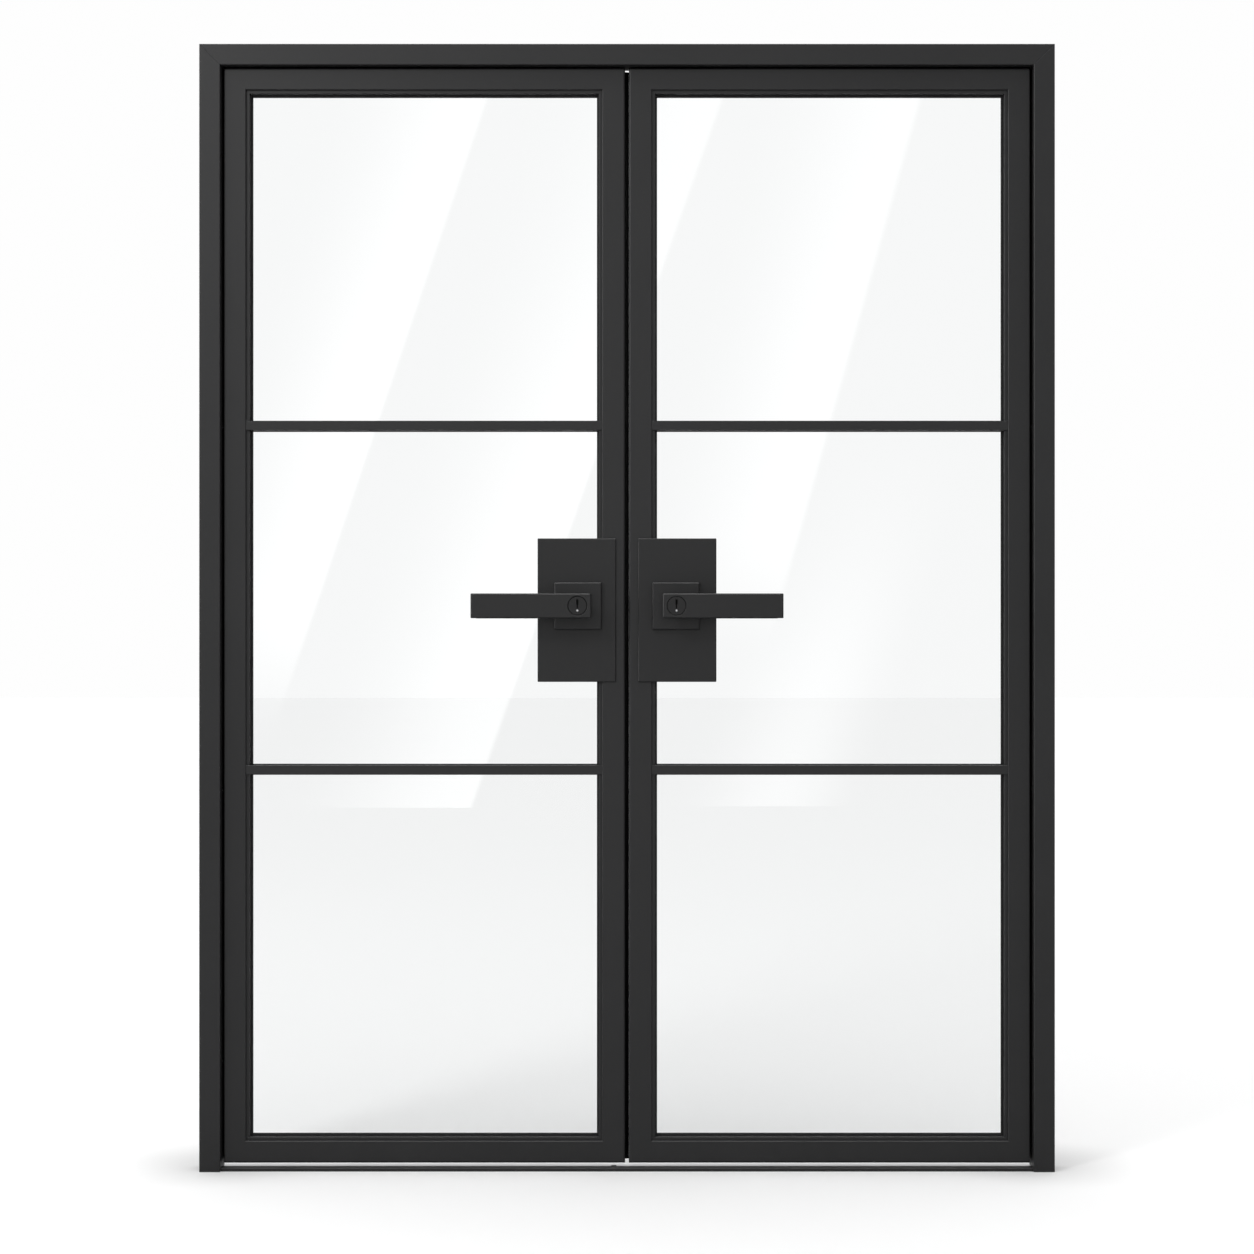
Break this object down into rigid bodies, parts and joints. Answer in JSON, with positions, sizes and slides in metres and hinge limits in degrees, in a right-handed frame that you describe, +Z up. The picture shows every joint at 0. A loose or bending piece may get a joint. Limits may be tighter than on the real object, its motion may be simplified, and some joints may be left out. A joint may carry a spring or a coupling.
{
  "type": "french doors",
  "caption": "Pair of glazed metal leaves in a slim black frame, each with three panes, a large cover plate, a square rose and a flat lever; both open to the rear.",
  "frame": {"origin": "on the floor, midway between the two leaves and at the middle of their thickness", "axes": "+X along the doorway to the right as seen from the front, -Y towards the front, +Z up"},
  "size_m": [1.57, 0.1836, 2.07],
  "materials": {
    "frame_coat": "matte",
    "hardware_coat": "satin",
    "rubber": "matte",
    "bare_steel": "satin",
    "silver_sill": "satin",
    "clear_glass": "gloss"
  },
  "bodies": {
    "frame": {"jamb_left": "frame_coat", "jamb_right": "frame_coat", "head": "frame_coat", "corner_cleats": "bare_steel", "sill_bar": "frame_coat", "threshold_plate": "silver_sill", "frame_seals": "rubber", "hinge_frame_plates_left": "frame_coat", "hinge_frame_plates_right": "frame_coat", "hinge_pins": "bare_steel"},
    "leaf_left": {"hinge_leaf_plates_left": "frame_coat", "hinge_stile_left": "frame_coat", "meeting_stile_left": "frame_coat", "top_rail_left": "frame_coat", "bottom_rail_left": "frame_coat", "muntin_upper_left": "frame_coat", "muntin_lower_left": "frame_coat", "glass_top_left": "clear_glass", "glass_middle_left": "clear_glass", "glass_bottom_left": "clear_glass", "gaskets_left": "rubber", "beads_left": "frame_coat", "lock_box_left": "frame_coat", "plate_front_left": "hardware_coat", "plate_rear_left": "hardware_coat", "rose_front_left": "hardware_coat", "rose_rear_left": "hardware_coat", "meeting_seal": "rubber", "strike_plate": "bare_steel"},
    "leaf_right": {"hinge_leaf_plates_right": "frame_coat", "hinge_stile_right": "frame_coat", "meeting_stile_right": "frame_coat", "top_rail_right": "frame_coat", "bottom_rail_right": "frame_coat", "muntin_upper_right": "frame_coat", "muntin_lower_right": "frame_coat", "glass_top_right": "clear_glass", "glass_middle_right": "clear_glass", "glass_bottom_right": "clear_glass", "gaskets_right": "rubber", "beads_right": "frame_coat", "lock_box_right": "frame_coat", "plate_front_right": "hardware_coat", "plate_rear_right": "hardware_coat", "rose_front_right": "hardware_coat", "rose_rear_right": "hardware_coat", "latch_faceplate": "bare_steel"},
    "handle_left": {"lever_front_left": "hardware_coat", "lever_rear_left": "hardware_coat", "spindle_left": "bare_steel"},
    "handle_right": {"lever_front_right": "hardware_coat", "lever_rear_right": "hardware_coat", "spindle_right": "bare_steel"},
    "key_left": {"key_plug_left": "hardware_coat"},
    "key_right": {"key_plug_right": "hardware_coat"},
    "turn_left": {"thumb_turn_left": "hardware_coat"},
    "turn_right": {"thumb_turn_right": "hardware_coat"},
    "latch": {"latch_bolt": "bare_steel"},
    "bolt_top": {"top_bolt": "bare_steel"},
    "bolt_bottom": {"bottom_bolt": "bare_steel"}
  },
  "joints": [
    {"name": "leaf_left_swing", "type": "hinge", "parent": "frame", "child": "leaf_left", "pos_m": [-0.75775, 0.03, 0], "axis": [0, 0, 1], "range_deg": [0, 170]},
    {"name": "lever_left_turn", "type": "hinge", "parent": "leaf_left", "child": "handle_left", "pos_m": [-0.09, 0, 1.0385], "axis": [0, -1, 0], "range_deg": [0, 45], "stiffness_Nm_per_rad": 1.5, "springref_deg": -45.84},
    {"name": "key_left_turn", "type": "hinge", "parent": "handle_left", "child": "key_left", "pos_m": [-0.09, 0, 1.0385], "axis": [0, 1, 0], "range_deg": [-90, 90]},
    {"name": "thumb_left_turn", "type": "hinge", "parent": "handle_left", "child": "turn_left", "pos_m": [-0.09, 0, 1.0385], "axis": [0, -1, 0], "range_deg": [0, 90]},
    {"name": "leaf_right_swing", "type": "hinge", "parent": "frame", "child": "leaf_right", "pos_m": [0.75775, 0.03, 0], "axis": [0, 0, -1], "range_deg": [0, 170]},
    {"name": "lever_right_turn", "type": "hinge", "parent": "leaf_right", "child": "handle_right", "pos_m": [0.09, 0, 1.0385], "axis": [0, 1, 0], "range_deg": [0, 45], "stiffness_Nm_per_rad": 1.5, "springref_deg": -45.84},
    {"name": "key_right_turn", "type": "hinge", "parent": "handle_right", "child": "key_right", "pos_m": [0.09, 0, 1.0385], "axis": [0, 1, 0], "range_deg": [-90, 90]},
    {"name": "thumb_right_turn", "type": "hinge", "parent": "handle_right", "child": "turn_right", "pos_m": [0.09, 0, 1.0385], "axis": [0, 1, 0], "range_deg": [0, 90]},
    {"name": "latch_slide", "type": "slide", "parent": "leaf_right", "child": "latch", "axis": [-1, 0, 0], "range_m": [0, 0.014]},
    {"name": "top_bolt_slide", "type": "slide", "parent": "leaf_left", "child": "bolt_top", "axis": [0, 0, 1], "range_m": [0, 0.012]},
    {"name": "bottom_bolt_slide", "type": "slide", "parent": "leaf_left", "child": "bolt_bottom", "axis": [0, 0, -1], "range_m": [0, 0.012]}
  ]
}
